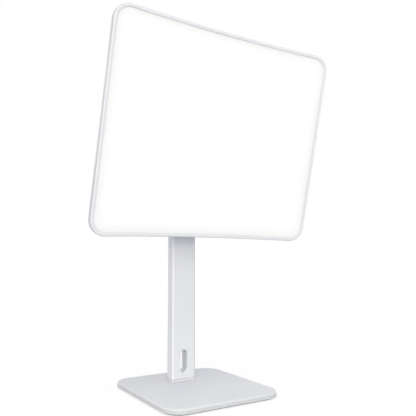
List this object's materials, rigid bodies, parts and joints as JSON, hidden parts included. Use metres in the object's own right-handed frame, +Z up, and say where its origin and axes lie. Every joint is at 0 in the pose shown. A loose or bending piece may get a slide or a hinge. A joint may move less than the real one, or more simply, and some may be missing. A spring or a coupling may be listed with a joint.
{
  "type": "light therapy lamp",
  "caption": "Bowed, edge-lit light panel that tilts and slides up and down a slim post with a cable slot, on a flat base plate with round corners.",
  "frame": {"origin": "middle of the base's outline, on the table, under the pad", "axes": "+Z up; the user sits at -Y and looks at the glowing face; +X is to that user's right"},
  "size_m": [0.4064, 0.2324, 0.5737],
  "materials": {
    "white_frame": "fine satin, moulded",
    "white_plastic": "fine satin, moulded",
    "milky_diffuser": "milky, lit from behind",
    "clear_acrylic": "polished, clear",
    "white_film": "matt white film",
    "light_strip": "circuit strip with lights",
    "painted_steel": "satin powder coat",
    "painted_post": "satin powder coat",
    "painted_casting": "satin powder coat",
    "grey_plastic": "fine grain, moulded",
    "black_plastic": "fine satin, moulded",
    "green_board": "lacquered circuit board",
    "foam_pad": "dull foam",
    "brass_insert": "turned",
    "zinc_steel": "zinc plated"
  },
  "bodies": {
    "stand": {"base_plate": "painted_steel", "base_pad": "foam_pad", "base_screw_1": "zinc_steel", "base_screw_2": "zinc_steel", "post": "painted_post", "foot_block": "zinc_steel", "foot_collar": "white_plastic", "slot_liner_front": "white_plastic", "slot_liner_back": "white_plastic", "post_cap": "white_plastic", "stop_screw": "zinc_steel"},
    "carriage": {"carriage": "painted_casting", "glide_liner": "grey_plastic", "clamp_shoe": "grey_plastic", "thread_insert": "brass_insert"},
    "clamp_screw": {"clamp_screw": "zinc_steel"},
    "clamp_knob": {"clamp_knob": "grey_plastic"},
    "head": {"front_bezel": "white_frame", "back_panel": "white_frame", "rear_housing": "white_plastic", "diffuser": "milky_diffuser", "light_guide": "clear_acrylic", "reflector_sheet": "white_film", "led_bar_left": "light_strip", "led_bar_right": "light_strip", "hinge_bracket": "painted_steel", "power_inlet": "black_plastic", "switch_frame": "black_plastic", "driver_board": "green_board", "nut_plate": "zinc_steel", "hinge_bolt": "zinc_steel", "hinge_nut": "zinc_steel", "hinge_washer_left": "zinc_steel", "hinge_washer_right": "zinc_steel", "housing_screw_1": "zinc_steel", "housing_screw_2": "zinc_steel", "housing_screw_3": "zinc_steel", "housing_screw_4": "zinc_steel", "board_screw_1": "zinc_steel", "board_screw_2": "zinc_steel", "board_screw_3": "zinc_steel", "board_screw_4": "zinc_steel", "bracket_screw_1": "zinc_steel", "bracket_screw_2": "zinc_steel", "bracket_screw_3": "zinc_steel", "bracket_screw_4": "zinc_steel"},
    "rocker": {"switch_rocker": "black_plastic"}
  },
  "joints": [
    {"name": "height_slide", "type": "slide", "parent": "stand", "child": "carriage", "axis": [0, 0, 1], "range_m": [-0.11, 0.01]},
    {"name": "head_tilt", "type": "hinge", "parent": "carriage", "child": "head", "pos_m": [0, -0.02815, 0.4217], "axis": [1, 0, 0], "range_deg": [-20, 13]},
    {"name": "clamp_screw_travel", "type": "slide", "parent": "carriage", "child": "clamp_screw", "axis": [0, 1, 0], "range_m": [0, 0.00051]},
    {"name": "knob_turn", "type": "hinge", "parent": "clamp_screw", "child": "clamp_knob", "pos_m": [0, 0.0786, 0.4127], "axis": [0, 1, 0], "range_deg": [0, 180]},
    {"name": "rocker_tip", "type": "hinge", "parent": "head", "child": "rocker", "pos_m": [0.056, -0.04386, 0.41342], "axis": [1, 0, 0], "range_deg": [-16, 0]}
  ],
  "couplings": [
    {"joint": "clamp_screw_travel", "follows": "knob_turn", "m_per_rad": 0.00015915}
  ]
}
